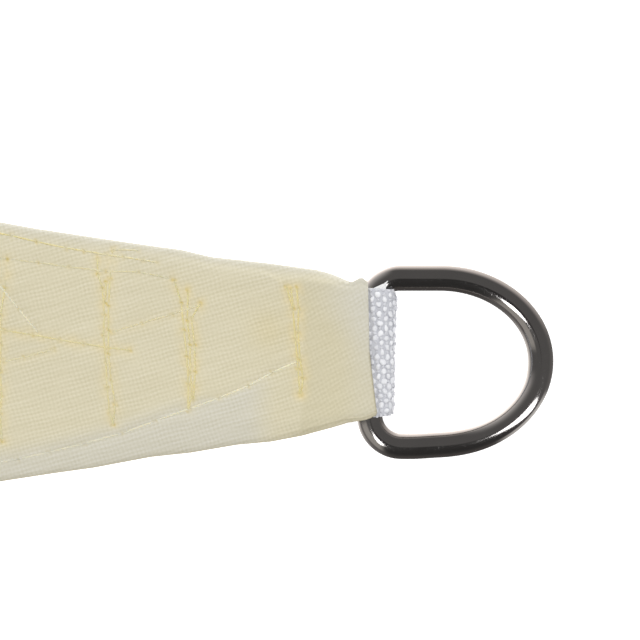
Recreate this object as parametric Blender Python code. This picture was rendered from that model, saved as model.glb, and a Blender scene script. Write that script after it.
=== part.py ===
"""A triangular shade sail laid out flat, with a D-ring on a webbing loop at each corner.

Metres, +Z up. The sail lies on the plane z = 0 with one corner pointing along +X, and the
origin is on that plane under the middle of the sail's box. Each corner is worked out in a
frame of its own: x = 0 at the cloth's tip and growing outwards, y across, z up.
"""

import math
from collections import namedtuple

import bmesh
import bpy
import numpy as np
from mathutils import Vector

MM = 0.001

# The whole sail.
SIDE = 2.0  # from the outer end of one ring to the outer end of the next
CORNERS = 3
EDGE_SAG = 0.10  # how far an edge curves in, as a share of the straight line between its ends
TURN = 2 * math.pi / CORNERS

# The cloth. The layers of a corner lie closer than 1 mm in real canvas, and are one here.
SHEET = 1.2 * MM
HEM_WIDTH = 8 * MM
HEM_THICKNESS = 2.0 * MM
FOLDED_CORNER = 3.0 * MM  # the turned layers beside and behind the webbing
FOLD_ENDS = (100 * MM, 124 * MM)  # the folded layers thin out between these ways from the tip
LAYER = 1.0 * MM  # the cloth above and below the webbing
TIP_HALF_WIDTH = 14 * MM
TIP_DRAW_IN = 0.5 * MM  # the edges pull in over the last stretch
TIP_STRETCH = 9 * MM
TIP_SKEW = 0.062  # the cloth's end runs this much out of square

# The webbing, one length folded round the ring's bar.
GAP = 0.3 * MM
WEB = 1.2 * MM
WEB_SIDES = (-12.8 * MM, 11.0 * MM)
WEB_LEG = 72 * MM
WEB_RISE = 15 * MM  # the legs part over this stretch to pass above and below the bar

# The D-ring, with X from the middle of its straight bar.
WIRE_R = 2.5 * MM
RING_HALF = 16.25 * MM
RING_REACH = 33.45 * MM
RING_CORNER = 5.8 * MM
RING_BOW = 13.7 * MM  # the bow begins this far from the bar
BAR_X = 0.1 * MM
RING_Y = -2.05 * MM  # the ring hangs a little to one side of the webbing
BAR_Z = WEB + GAP + WIRE_R
RING_TILT = math.asin((BAR_Z - WIRE_R - 0.05 * MM) / RING_REACH)  # until its bow rests

TIP_RADIUS = SIDE / math.sqrt(3) - BAR_X - RING_REACH - WIRE_R
BOX_SHIFT = SIDE / math.sqrt(3) / 4  # from the sail's middle to the middle of its box

# Levels of the webbing where its legs lie together in the corner.
LOWER_LEG = LAYER + GAP + WEB / 2
UPPER_LEG = LOWER_LEG + WEB + GAP
WRAP_Z = BAR_Z - WEB / 2  # the wrap's half height, at the middle of the webbing
WRAP_START = 1.4 * MM  # the wrap begins this far past the bar's middle, for it sits loosely
WRAP_X = 3.6 * MM
LEG_STEPS = np.linspace(BAR_X - WEB_RISE, BAR_X, 13)
POCKET_HALF = 12.9 * MM
RIDGE_HALF = 13.3 * MM  # the webbing lifts the cloth evenly so far out, and less from there to the edge
POCKET_END = -WEB_LEG - GAP
LOWER_LIP = -10 * MM  # the cloth under the webbing stops here
MOUTH_SIDES = -4 * MM  # from here on the corner is open at its sides, over the bar

# Low ripples in the laid cloth: the ends of each, measured from the sail's middle, the way
# that its line bows to the left, its height and its half width.
Ripple = namedtuple("Ripple", "x1 y1 x2 y2 bow height half_width")
RIPPLES = (
    Ripple(0.88, 0.02, 0.20, 0.10, 0.03, 0.011, 0.060),
    Ripple(0.70, -0.06, -0.05, -0.16, -0.04, 0.017, 0.075),
    Ripple(-0.36, 0.70, -0.02, 0.12, 0.05, 0.015, 0.070),
    Ripple(-0.22, 0.56, -0.30, -0.02, -0.03, 0.009, 0.065),
    Ripple(-0.38, -0.68, -0.12, -0.20, 0.02, 0.013, 0.068),
    Ripple(-0.34, -0.44, -0.30, 0.16, 0.04, 0.020, 0.080),
    Ripple(0.30, 0.24, -0.06, 0.34, 0.03, 0.010, 0.062),
)

# The cloth's grid: rows from a tip to the middle of the sail, and columns out to each edge.
CORNER_ROWS = [d * MM for d in (0, 2, 4.2, 7, 10, 14, 20, 44, 72, 78, 88, 106, 126)]
FIELD_ROWS = 18
POCKET_COLUMNS = 4
FIELD_COLUMNS = 6
POCKET_SHARE = POCKET_COLUMNS / (POCKET_COLUMNS + FIELD_COLUMNS + 1)
WIDEST_POCKET = 0.8  # at the tip the pocket's column stays this far out, to leave the edge its own


def smooth(value):
    """0 up to value 0, 1 from value 1, and an even slope between."""
    t = np.clip(value, 0, 1)
    return t * t * (3 - 2 * t)


def turned(x, y, angle):
    return x * math.cos(angle) - y * math.sin(angle), x * math.sin(angle) + y * math.cos(angle)


def web_rise(x):
    """How far the legs have parted, from 0 in the corner to 1 over the bar."""
    return smooth((x - BAR_X) / WEB_RISE + 1)


def web_top(x):
    return UPPER_LEG + (BAR_Z + WRAP_Z - UPPER_LEG) * web_rise(x) + WEB / 2


def web_bottom(x):
    return (LOWER_LEG - WEB / 2) * (1 - web_rise(x))


def edge_point(share):
    """A point of the curved edge that runs from the tip at +X to the next tip, from the sail's middle."""
    start = np.array([TIP_RADIUS, TIP_HALF_WIDTH])
    end = np.array(turned(TIP_RADIUS, -TIP_HALF_WIDTH, TURN))
    chord = end - start
    inwards = np.array([-chord[1], chord[0]])
    return start + chord * share + inwards * 4 * EDGE_SAG * share * (1 - share)


def ripple_height(x, y):
    height = 0.0
    for r in RIPPLES:
        length = math.hypot(r.x2 - r.x1, r.y2 - r.y1)
        along_x, along_y = (r.x2 - r.x1) / length, (r.y2 - r.y1) / length
        along = ((x - r.x1) * along_x + (y - r.y1) * along_y) / length
        across = (y - r.y1) * along_x - (x - r.x1) * along_y - 4 * r.bow * along * (1 - along)
        fade = smooth(along / 0.35) * smooth((1 - along) / 0.35)
        height += r.height * fade * smooth(1 - abs(across) / r.half_width)
    return height


def cloth_thickness(x, y, to_edge):
    """The cloth's thickness at a point of a corner's frame, with to_edge the way to the hem's edge."""
    field = SHEET + (HEM_THICKNESS - SHEET) * (to_edge < HEM_WIDTH + 0.1 * MM)
    folded = field + (FOLDED_CORNER - field) * smooth((FOLD_ENDS[1] + x) / (FOLD_ENDS[1] - FOLD_ENDS[0]))
    over_web = web_top(x) + GAP + LAYER
    beside_bar = web_rise(x) * smooth(1 - (abs(y) - TIP_HALF_WIDTH) / (4 * MM))
    beside_leg = np.clip(to_edge / (abs(y) + to_edge - RIDGE_HALF), 0, 1)
    ridge = smooth((x - POCKET_END) / (14 * MM) + 1) * max(beside_bar, beside_leg)
    return folded + (over_web - folded) * ridge


def column_shares(half_width):
    """Shares of the way from the axis to an edge: a column on the pocket's side, one on the hem's."""
    pocket = max(POCKET_SHARE, min(POCKET_HALF / half_width, WIDEST_POCKET))
    hem = max(1 - HEM_WIDTH / half_width, (1 + pocket) / 2)
    inner = [pocket * i / POCKET_COLUMNS for i in range(POCKET_COLUMNS)]
    outer = [pocket + (hem - pocket) * i / FIELD_COLUMNS for i in range(FIELD_COLUMNS + 1)]
    return inner + outer + [1.0]


def corner_rows():
    """Shares of an edge's length at which the rows of a corner's grid leave it."""
    chord = 2 * (TIP_RADIUS * math.sin(TURN / 2) - TIP_HALF_WIDTH * math.cos(TURN / 2))
    near = [d / chord for d in CORNER_ROWS]
    step = (0.5 - near[-1]) / FIELD_ROWS
    return near + [near[-1] + step * (i + 1) for i in range(FIELD_ROWS)]


def corner_grid():
    """Rows of (x, y, thickness) from one edge over the axis to the other, from the sail's middle."""
    far_edge = TIP_RADIUS - edge_point(0.5)[0]
    rows = []
    for share in corner_rows():
        edge_x, edge_y = edge_point(share)
        way = TIP_RADIUS - edge_x
        axis_x = TIP_RADIUS - way * (1 + (TIP_RADIUS / far_edge - 1) * (way / far_edge) ** 2)
        shares = column_shares(edge_y)
        row = []
        for column in [-s for s in reversed(shares[1:])] + shares:
            x = axis_x + (edge_x - axis_x) * abs(column)
            y = edge_y * column
            thickness = cloth_thickness(x - TIP_RADIUS, y, edge_y * (1 - abs(column)))
            near_tip = smooth(1 - way / TIP_STRETCH)
            x -= TIP_SKEW * y * near_tip
            y -= TIP_DRAW_IN * column * near_tip
            row.append((x, y, thickness))
        rows.append(row)
    return rows


def finish(obj, material):
    obj.data.materials.append(material)
    if obj.type == "MESH":
        obj.data.shade_smooth()
        obj.data.set_sharp_from_angle(angle=math.radians(35))
    return obj


def new_object(name, data, parent=None):
    obj = bpy.data.objects.new(name, data)
    bpy.context.scene.collection.objects.link(obj)
    obj.parent = parent
    return obj


def mesh_of(name, bm):
    bmesh.ops.recalc_face_normals(bm, faces=bm.faces)
    mesh = bpy.data.meshes.new(name)
    bm.to_mesh(mesh)
    bm.free()
    return mesh


def material(name, color, roughness, metallic=0.0):
    made = bpy.data.materials.new(name)
    made.use_nodes = True
    shader = made.node_tree.nodes["Principled BSDF"]
    shader.inputs["Base Color"].default_value = (*color, 1)
    shader.inputs["Roughness"].default_value = roughness
    shader.inputs["Metallic"].default_value = metallic
    return made


def add_cloth_corner(bm, angle):
    """One third of the sail: its top and underside from a tip to the middle, and the rim around them."""
    tops, undersides = [], []
    for row in corner_grid():
        places = [(*turned(x, y, angle), thickness) for x, y, thickness in row]
        heights = [ripple_height(x, y) for x, y, _ in places]
        tops.append([bm.verts.new((x - BOX_SHIFT, y, h + t)) for (x, y, t), h in zip(places, heights)])
        undersides.append([bm.verts.new((x - BOX_SHIFT, y, h)) for (x, y, _), h in zip(places, heights)])
    for grid in (tops, undersides):
        for near, far in zip(grid, grid[1:]):
            for i in range(len(near) - 1):
                bm.faces.new((near[i], near[i + 1], far[i + 1], far[i]))
    rims = [
        ([row[0] for row in tops], [row[0] for row in undersides]),
        ([row[-1] for row in tops], [row[-1] for row in undersides]),
        (tops[0], undersides[0]),
    ]
    for top, underside in rims:
        for i in range(len(top) - 1):
            bm.faces.new((top[i], top[i + 1], underside[i + 1], underside[i]))


def add_pocket(bm, tip):
    """The room for the webbing inside a corner: closed behind, and open over the bar and at its sides."""
    breaks = (LOWER_LIP, LOWER_LIP + 0.2 * MM, MOUTH_SIDES, MOUTH_SIDES + MM)
    steps = [x for x in LEG_STEPS if all(abs(x - b) > MM for b in breaks)]
    loops = []
    for x in sorted([POCKET_END, *steps, *breaks, 8 * MM]):
        left, right = (WEB_SIDES[0] - GAP, WEB_SIDES[1] + GAP) if x <= MOUTH_SIDES else (-20 * MM, 20 * MM)
        floor = web_bottom(x) - GAP if x <= LOWER_LIP else -2 * MM
        ceiling = web_top(x) + GAP
        corners = ((left, floor), (right, floor), (right, ceiling), (left, ceiling))
        loops.append([bm.verts.new(tip @ Vector((x, y, z))) for y, z in corners])
    for near, far in zip(loops, loops[1:]):
        for i in range(4):
            bm.faces.new((near[i], near[i - 1], far[i - 1], far[i]))
    bm.faces.new(loops[0])
    bm.faces.new(loops[-1])


def pocket_cutter(tips):
    bm = bmesh.new()
    for tip in tips:
        add_pocket(bm, tip.matrix_basis)
    cutter = new_object("pocket_cutter", mesh_of("pocket_cutter", bm))
    cutter.hide_render = True
    cutter.display_type = "WIRE"
    return cutter


def sail_cloth(cutter, canvas):
    bm = bmesh.new()
    for corner in range(CORNERS):
        add_cloth_corner(bm, corner * TURN)
    bmesh.ops.remove_doubles(bm, verts=bm.verts, dist=0.01 * MM)
    cloth = new_object("sail_cloth", mesh_of("sail_cloth", bm))
    pockets = cloth.modifiers.new("pockets", "BOOLEAN")
    pockets.operation = "DIFFERENCE"
    pockets.solver = "EXACT"
    pockets.object = cutter
    return finish(cloth, canvas)


def webbing_loop(parent, number, webbing):
    """The folded webbing: a section along its length, extruded across its width."""
    leg_x = [-WEB_LEG, -WEB_LEG / 2, *LEG_STEPS, BAR_X + WRAP_START]
    lower = [(x, web_bottom(x) + WEB / 2) for x in leg_x]
    wrap = [
        (BAR_X + WRAP_START + WRAP_X * math.cos(a), BAR_Z + WRAP_Z * math.sin(a))
        for a in np.linspace(-math.pi / 2, math.pi / 2, 15)[1:-1]
    ]
    upper = [(x, web_top(x) - WEB / 2) for x in reversed(leg_x)]
    middle = np.array(lower + wrap + upper)
    way = np.gradient(middle, axis=0)
    way /= np.linalg.norm(way, axis=1)[:, None]
    offset = np.stack([way[:, 1], -way[:, 0]], axis=1) * WEB / 2
    outline = np.concatenate([middle + offset, (middle - offset)[::-1]])
    bm = bmesh.new()
    section = bm.faces.new([bm.verts.new((x, WEB_SIDES[0], z)) for x, z in outline])
    extruded = bmesh.ops.extrude_face_region(bm, geom=[section])
    far_side = [v for v in extruded["geom"] if isinstance(v, bmesh.types.BMVert)]
    bmesh.ops.translate(bm, verts=far_side, vec=(0, WEB_SIDES[1] - WEB_SIDES[0], 0))
    name = f"webbing_loop_{number}"
    return finish(new_object(name, mesh_of(name, bm), parent), webbing)


def ring_outline():
    """The middle of the wire, round the straight bar, its two corners and the bow."""
    corner = [
        (RING_CORNER * (1 - math.cos(a)), RING_CORNER * math.sin(a) + RING_HALF - RING_CORNER)
        for a in np.linspace(0, math.pi / 2, 7)
    ]
    bow = [
        (RING_BOW + (RING_REACH - RING_BOW) * math.sin(a), RING_HALF * math.cos(a))
        for a in np.linspace(0, math.pi, 21)
    ]
    return corner + bow + [(x, -y) for x, y in reversed(corner)]


def d_ring(parent, number, steel):
    curve = bpy.data.curves.new(f"d_ring_{number}", "CURVE")
    curve.dimensions = "3D"
    curve.bevel_depth = WIRE_R
    curve.bevel_resolution = 4
    wire = curve.splines.new("POLY")
    points = ring_outline()
    wire.points.add(len(points) - 1)
    for point, (x, y) in zip(wire.points, points):
        point.co = (x, y, 0, 1)
    wire.use_cyclic_u = True
    wire.use_smooth = True
    ring = new_object(f"d_ring_{number}", curve, parent)
    ring.location = (BAR_X, RING_Y, BAR_Z)
    ring.rotation_euler = (0, RING_TILT, 0)
    return finish(ring, steel)


for old in list(bpy.data.objects):
    bpy.data.objects.remove(old)

canvas = material("cream canvas", (0.74, 0.68, 0.50), 0.9)
webbing = material("white webbing", (0.78, 0.78, 0.82), 0.85)
steel = material("dark polished steel", (0.28, 0.27, 0.26), 0.15, metallic=1.0)

tips = []
for corner in range(CORNERS):
    x, y = turned(TIP_RADIUS, 0, corner * TURN)
    tip = new_object(f"corner_{corner + 1}", None)
    tip.location = (x - BOX_SHIFT, y, 0)
    tip.rotation_euler = (0, 0, corner * TURN)
    tips.append(tip)

sail_cloth(pocket_cutter(tips), canvas)
for n, tip in enumerate(tips, 1):
    webbing_loop(tip, n, webbing)
    d_ring(tip, n, steel)
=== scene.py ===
"""A triangular canvas shade sail laid flat on a pale floor, seen from above at one of its corners."""

import math
from collections import namedtuple
from contextlib import contextmanager

import bmesh
import bpy
import numpy as np
from mathutils import Matrix, Vector
from mathutils.bvhtree import BVHTree


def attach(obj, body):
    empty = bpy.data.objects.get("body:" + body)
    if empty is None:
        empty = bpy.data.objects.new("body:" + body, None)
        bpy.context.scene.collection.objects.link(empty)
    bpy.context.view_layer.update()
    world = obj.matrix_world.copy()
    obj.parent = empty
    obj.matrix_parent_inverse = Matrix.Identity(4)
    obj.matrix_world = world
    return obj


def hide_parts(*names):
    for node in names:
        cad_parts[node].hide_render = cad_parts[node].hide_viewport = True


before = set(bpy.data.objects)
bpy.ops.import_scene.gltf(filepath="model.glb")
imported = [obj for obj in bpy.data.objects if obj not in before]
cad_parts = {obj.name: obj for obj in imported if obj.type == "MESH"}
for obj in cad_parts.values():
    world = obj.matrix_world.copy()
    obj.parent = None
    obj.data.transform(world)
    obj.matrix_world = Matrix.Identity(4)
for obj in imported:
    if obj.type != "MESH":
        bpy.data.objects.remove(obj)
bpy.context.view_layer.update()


# ---- The sail cloth --------------------------------------------------------------------------
# One triangle of cream plain-weave canvas with inward-curved edges. The edges are turned under and
# sewn down, and each corner is folded to a narrow end, left open like a sleeve for the webbing.

MM = 0.001
SIDE = 2.0
CORNERS = 3
TURN = 2 * math.pi / CORNERS
EDGE_SAG = 0.10

SHEET = 1.2 * MM
HEM_WIDTH = 8 * MM
HEM_STEP = 0.6 * MM  # the turned hem's raw edge slopes down over this width
HEM_THICKNESS = 2.0 * MM
FOLDED_CORNER = 3.3 * MM
FOLD_ENDS = (100 * MM, 124 * MM)  # ways from a tip between which the folded corner thins to the hem
LAYER = 1.0 * MM  # the cloth under the webbing, and over it
COVER = 0.6 * MM
THINNEST = 0.4 * MM
TIP_HALF_WIDTH = 14 * MM
TIP_DRAW_IN = 0.5 * MM
TIP_STRETCH = 9 * MM
TIP_SKEW_UP = 0.02  # the open end's lean on the side of +Y, and on the other side
TIP_SKEW_DOWN = 0.11

GAP = 0.3 * MM
WEB = 1.2 * MM  # the webbing's thickness
WEB_LEG = 72 * MM
WEB_RISE = 15 * MM  # its legs part over this length, towards the ring's bar
WIRE_R = 2.5 * MM
RING_REACH = 33.45 * MM
BAR_X = 0.1 * MM
BAR_Z = WEB + GAP + WIRE_R

TIP_RADIUS = SIDE / math.sqrt(3) - BAR_X - RING_REACH - WIRE_R
BOX_SHIFT = SIDE / math.sqrt(3) / 4  # from the triangle's middle to the middle of its box
LOWER_LEG = LAYER + GAP + WEB / 2
UPPER_LEG = LOWER_LEG + WEB + GAP
WRAP_Z = BAR_Z - WEB / 2
POCKET_HALF = 12.9 * MM
POCKET_WALL = 0.2 * MM
POCKET_DROP = 0.5 * MM  # how far the cloth sinks onto the upper leg, behind the bar
RIDGE_HALF = 12.9 * MM  # beyond it the cloth slopes from the webbing to its edge
RIDGE_RUN = 14 * MM  # the cloth rises onto the webbing over this length, behind the pocket's end
POCKET_END = 72.3 * MM  # ways from the tip: the pocket's closed end, the lower lip, the open sides
LOWER_LIP = 10 * MM
MOUTH_SIDES = 4 * MM
FLAT_FROM = 16 * MM  # from this way to the tip the cloth beside the webbing rises to its height
FLAT_RUN = 11 * MM

# The cloth's low waves, each between two places on the floor, in metres from the sail's middle.
Ripple = namedtuple("Ripple", "x1 y1 x2 y2 bow height half_width")
RIPPLE_FADE = 0.35  # the share of its length over which a ripple rises and dies away
RIPPLES = (
    Ripple(0.88, 0.02, 0.20, 0.10, 0.03, 0.011, 0.060),
    Ripple(0.70, -0.06, -0.05, -0.16, -0.04, 0.017, 0.075),
    Ripple(-0.36, 0.70, -0.02, 0.12, 0.05, 0.015, 0.070),
    Ripple(-0.22, 0.56, -0.30, -0.02, -0.03, 0.009, 0.065),
    Ripple(-0.38, -0.68, -0.12, -0.20, 0.02, 0.013, 0.068),
    Ripple(-0.34, -0.44, -0.30, 0.16, 0.04, 0.020, 0.080),
    Ripple(0.30, 0.24, -0.06, 0.34, 0.03, 0.010, 0.062),
)

# How far the folded edge stands out of its even curve at ways from the tip, both in mm.
UPPER_EDGE = ((0, 0.1), (1.2, 0.6), (3.2, -0.8), (4.8, -0.55), (7.7, 0), (10.6, 0.35), (19.4, 0.25),
              (25, 0.05), (31, -0.25), (37, 0.25), (43, 0.1), (54, -0.05), (66, -0.2), (78, -0.05), (90, 0))
LOWER_EDGE = ((0, -0.9), (2.2, -0.5), (4, -0.55), (7.7, 0.05), (13.3, 0.8), (19.4, 1.05), (26, 0.65),
              (35, 0.8), (43, 0.4), (54, 0.7), (62, 0.5), (72, 0.35), (90, 0.45), (120, 0))

# Lines on a corner, in mm from the tip's middle: needle holes in sewing order, and the folds.
SEAMS = {
    "end_left": ((-16.2, 12.6), (-14.9, 8.1), (-14.4, 2.1), (-13.9, -3.5), (-13.5, -8.5)),
    "end_double": ((-15.3, 12.1), (-14.8, 8.4)),
    "end_right": ((-14.2, 12.2), (-13.8, 8.4), (-13.9, 3.7), (-13.5, -1.7), (-12.9, -5.3), (-13.3, -8.5)),
    "middle_left": ((-38.1, 13.8), (-36.7, 9.4), (-36.2, 4.2), (-35.6, -1.1), (-35.3, -6.5), (-35.4, -11.6)),
    "middle": ((-35.4, 11.9), (-35.5, 5.9), (-35.0, 1.2), (-34.9, -4.4), (-34.6, -8.7), (-35.4, -11.6)),
    "middle_right": ((-33.0, 9.2), (-34.7, 6.2), (-34.1, 1.2), (-34.0, -4.1), (-34.3, -9.6)),
    "inner_left": ((-53.1, 18.1), (-53.0, 15.0), (-52.1, 12.3), (-51.7, 7.0), (-51.9, 3.1), (-51.4, -2.1),
                   (-51.2, -7.2), (-50.7, -12.1), (-50.0, -14.5)),
    "inner_right": ((-50.2, 19.7), (-50.6, 14.2), (-50.9, 8.8), (-50.9, 4.0), (-50.9, -0.6), (-50.4, -5.7),
                    (-49.6, -10.5), (-50.0, -14.5)),
    "inner_double": ((-51.4, 13.5), (-51.5, 9.4)),
    "back_right": ((-70.7, 17.9), (-71.1, 12.3), (-72.0, 6.8), (-71.9, 1.4), (-72.0, -3.9), (-71.8, -8.6),
                   (-72.0, -12.5), (-71.7, -17.7)),
    "back_left": ((-72.8, 16.6), (-73.0, 10.7), (-72.6, 4.1), (-72.8, -1.8), (-72.6, -7.6), (-72.4, -13.5),
                  (-71.7, -17.7)),
    "hem_outer": ((-75.0, 23.4), (-69.9, 22.5), (-65.0, 21.3), (-59.3, 20.1), (-55.7, 19.5), (-51.2, 18.7),
                  (-48.0, 18.3), (-44.1, 17.7), (-41.4, 17.2)),
    "hem_double": ((-50.2, 19.8), (-45.1, 19.6)),
    "hem_inner": ((-75.9, 18.5), (-70.7, 17.9), (-64.6, 17.2), (-58.8, 16.4), (-51.4, 15.5), (-45.1, 15.4),
                  (-38.5, 14.0)),
    "cross": ((-74.0, 4.3), (-71.1, 3.9), (-65.6, 3.1), (-60.5, 2.1), (-55.7, 1.4), (-51.2, 0.6),
              (-46.7, 0.1)),
    "cross_low": ((-71.1, -2.1), (-67.4, -1.3), (-61.5, 0.3)),
    "cross_up": ((-50.2, 3.6), (-44.3, 5.4), (-38.5, 7.1), (-33.0, 9.0)),
    "slant": ((-73.2, 14.0), (-68.5, 8.2), (-64.6, 3.5)),
    "long_seam": ((-14.1, -2.1), (-19.0, -4.3), (-23.5, -6.8), (-29.3, -9.2), (-35.0, -11.3), (-41.8, -13.7),
                  (-48.2, -16.1), (-55.6, -18.1), (-62.7, -19.9), (-68.7, -21.2), (-74.8, -22.2)),
}
PALE_SEAMS = ("long_seam", "slant")
# How plainly a seam's thread shows against the cloth, at its first hole and at its last.
SHOWN = {
    "end": (1.0, 1.0),
    "middle": (0.95, 0.8),
    "inner": (0.8, 0.65),
    "back": (0.8, 0.7),
    "hem_outer": (1.0, 0.2),
    "hem_double": (0.2, 0.2),
    "hem_inner": (0.35, 0.3),
    "cross": (0.75, 0.65),
    "cross_low": (0.3, 0.25),
    "cross_up": (0.3, 0.2),
    "slant": (0.65, 0.6),
    "long_seam": (1.0, 0.1),
}
FLAP_FOLD = ((-30.5, 18.9), (-28.9, 18.1), (-24.5, 17.6), (-20.7, 15.8), (-17.2, 13.7), (-15.7, 11.9),
             (-14.6, 9.5))
END_FOLD = ((-14.1, 17.6), (-13.3, 9.9), (-12.9, 2.1), (-12.6, -3.7), (-12.9, -9.2), (-13.7, -17.8))
SOFT_CREASE = ((-33.0, 9.0), (-27.6, 10.4), (-22.9, 10.3), (-19.8, 8.4))
SMUDGE = (-19.6 * MM, 4.0 * MM)  # a faint brown mark on the first corner, between its rows of stitches
SMUDGE_WIDTH = 3.8 * MM
SMUDGE_DEPTH = 0.16

HOLE_JITTER = 0.35 * MM  # the second and third corners are sewn alike, but not hole for hole
THREAD_TILT = math.radians(16)  # the panel's threads run this much off the first corner's middle
WEAVE_PITCH = 0.80 * MM

PUCKER = (0.09 * MM, 1.0 * MM)  # how deep a seam draws the cloth in, and how wide
PALE_PUCKER = (0.20 * MM, 0.7 * MM)
HOLE_DINT = (0.13 * MM, 0.5 * MM)
FLAP_BEAD = 0.12 * MM  # the upper flap's edge stands up a little, and the cloth past it lies lower
FLAP_STEP = 0.32 * MM
CREASE = (0.10 * MM, 0.9 * MM)
RELIEF_END = 110 * MM  # all these forms fade out here, over this length
RELIEF_FADE = 30 * MM
END_STEP = 0.16 * MM  # the turned-under end lies this much higher
BROAD_WAVES = 0.10 * MM
FINE_WAVES = 0.05 * MM
SOFT_RIM = 0.35 * MM  # the cloth thins by this much towards its edge

# The cloth's grid: its rows across a corner, the fine ones next to the tip, and the columns from the
# middle of a row to its edge. Every other row and column is on the underside too.
FINE_ROW = 1.1 * MM
WIDEST_ROW = 38 * MM
ROW_GROWTH = 0.11
GROWTH_FROM = 62 * MM
POCKET_COLUMNS = 11
FIELD_COLUMNS = 8
HEM_COLUMNS = 3
SPREAD_FROM = 80 * MM  # past this way the columns part from the webbing's and grow even
SPREAD_RUN = 60 * MM


def smooth(value):
    """0 up to value 0, 1 from value 1, and an even slope between."""
    t = np.clip(value, 0, 1)
    return t * t * (3 - 2 * t)


def turned(x, y, angle):
    return x * math.cos(angle) - y * math.sin(angle), x * math.sin(angle) + y * math.cos(angle)


def tip_matrix(corner):
    """From a corner's frame, with x = 0 at the cloth's tip, to its place on the floor."""
    x, y = turned(TIP_RADIUS, 0, corner * TURN)
    return Matrix.Translation((x - BOX_SHIFT, y, 0)) @ Matrix.Rotation(corner * TURN, 4, "Z")


def web_rise(x):
    """0 where the webbing's legs lie flat, 1 at the bar."""
    return smooth((x - BAR_X) / WEB_RISE + 1)


def web_top(x):
    """The height of the webbing's upper face at this place from the tip."""
    return UPPER_LEG + (BAR_Z + WRAP_Z - UPPER_LEG) * web_rise(x) + WEB / 2


def web_bottom(x):
    """The height of its lower face there."""
    return (LOWER_LEG - WEB / 2) * (1 - web_rise(x))


EDGE_START = np.array([TIP_RADIUS, TIP_HALF_WIDTH])
EDGE_CHORD = np.array(turned(TIP_RADIUS, -TIP_HALF_WIDTH, TURN)) - EDGE_START
EDGE_INWARDS = np.array([-EDGE_CHORD[1], EDGE_CHORD[0]])


def edge_point(share):
    """Points of the curved edge from the tip at +X to the next tip, from the sail's middle."""
    share = np.asarray(share, float)[..., None]
    return EDGE_START + EDGE_CHORD * share + EDGE_INWARDS * 4 * EDGE_SAG * share * (1 - share)


def share_at(way):
    """The share of an edge's length at which it is this way from the tip, along the corner's axis."""
    bend = -4 * EDGE_SAG * EDGE_INWARDS[0]
    slope = -EDGE_CHORD[0] + bend
    return (slope - np.sqrt(slope ** 2 - 4 * bend * way)) / (2 * bend)


def ripple_height(x, y):
    height = np.zeros_like(x)
    for r in RIPPLES:
        length = math.hypot(r.x2 - r.x1, r.y2 - r.y1)
        along_x, along_y = (r.x2 - r.x1) / length, (r.y2 - r.y1) / length
        along = ((x - r.x1) * along_x + (y - r.y1) * along_y) / length
        across = (y - r.y1) * along_x - (x - r.x1) * along_y - 4 * r.bow * along * (1 - along)
        fade = smooth(along / RIPPLE_FADE) * smooth((1 - along) / RIPPLE_FADE)
        height += r.height * fade * smooth(1 - np.abs(across) / r.half_width)
    return height


def pocket_roof(x):
    """The cloth's lower face over the webbing."""
    return web_top(x) + GAP - POCKET_DROP * (1 - web_rise(x))


def cloth_thickness(x, y, to_edge):
    field = SHEET + (HEM_THICKNESS - SHEET) * smooth((HEM_WIDTH + HEM_STEP - to_edge) / HEM_STEP)
    folded = field + (FOLDED_CORNER - field) * smooth((FOLD_ENDS[1] + x) / (FOLD_ENDS[1] - FOLD_ENDS[0]))
    over_web = pocket_roof(x) + COVER
    beside_bar = smooth((x + FLAT_FROM) / FLAT_RUN)
    beside_leg = np.clip(to_edge / np.maximum(np.abs(y) + to_edge - RIDGE_HALF, 0.3 * MM), 0, 1)
    beside_leg *= 2 - beside_leg
    ridge = smooth((x + POCKET_END) / RIDGE_RUN + 1) * (1 - (1 - beside_bar) * (1 - beside_leg))
    return folded + (over_web - folded) * ridge


def underside(x, y):
    """The cloth's lower face: on the floor, but for the pocket and the mouth that the webbing lies in."""
    inside = (x > -POCKET_END - 0.1 * MM) & (np.abs(y) < POCKET_HALF + 0.05 * MM)
    over_bar = x > -MOUTH_SIDES - 0.1 * MM
    return np.where(inside | over_bar, pocket_roof(x), 0.0)


def way_to_line(x, y, points):
    """The distance to a line of straight stretches."""
    nearest = np.full(np.shape(x), 1.0)
    for (x1, y1), (x2, y2) in zip(points, points[1:]):
        dx, dy = x2 - x1, y2 - y1
        t = np.clip(((x - x1) * dx + (y - y1) * dy) / (dx * dx + dy * dy), 0, 1)
        nearest = np.minimum(nearest, np.hypot(x - x1 - t * dx, y - y1 - t * dy))
    return nearest


def bell(way, width):
    """1 at way 0, falling off evenly on both sides."""
    return np.exp(-(way / width) ** 2)


def in_metres(points):
    return [(x * MM, y * MM) for x, y in points]


def corner_seams(corner):
    """Every seam's needle holes on one corner, in metres."""
    drift = np.random.default_rng(corner)
    seams = {}
    for name, holes in SEAMS.items():
        places = np.array(in_metres(holes))
        if corner:
            places = places + drift.uniform(-HOLE_JITTER, HOLE_JITTER, places.shape)
        seams[name] = [tuple(place) for place in places]
    return seams


def shown_along(name):
    """How plainly the thread shows at each needle hole of a seam."""
    first, last = SHOWN.get(name) or SHOWN[name.split("_")[0]]
    return np.linspace(first, last, len(SEAMS[name]))


def past_end_fold(x, y):
    """How far a point lies past the line where the cloth's end is turned under."""
    fold = np.array(in_metres(END_FOLD))[::-1]
    return x - np.interp(y, fold[:, 1], fold[:, 0])


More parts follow.
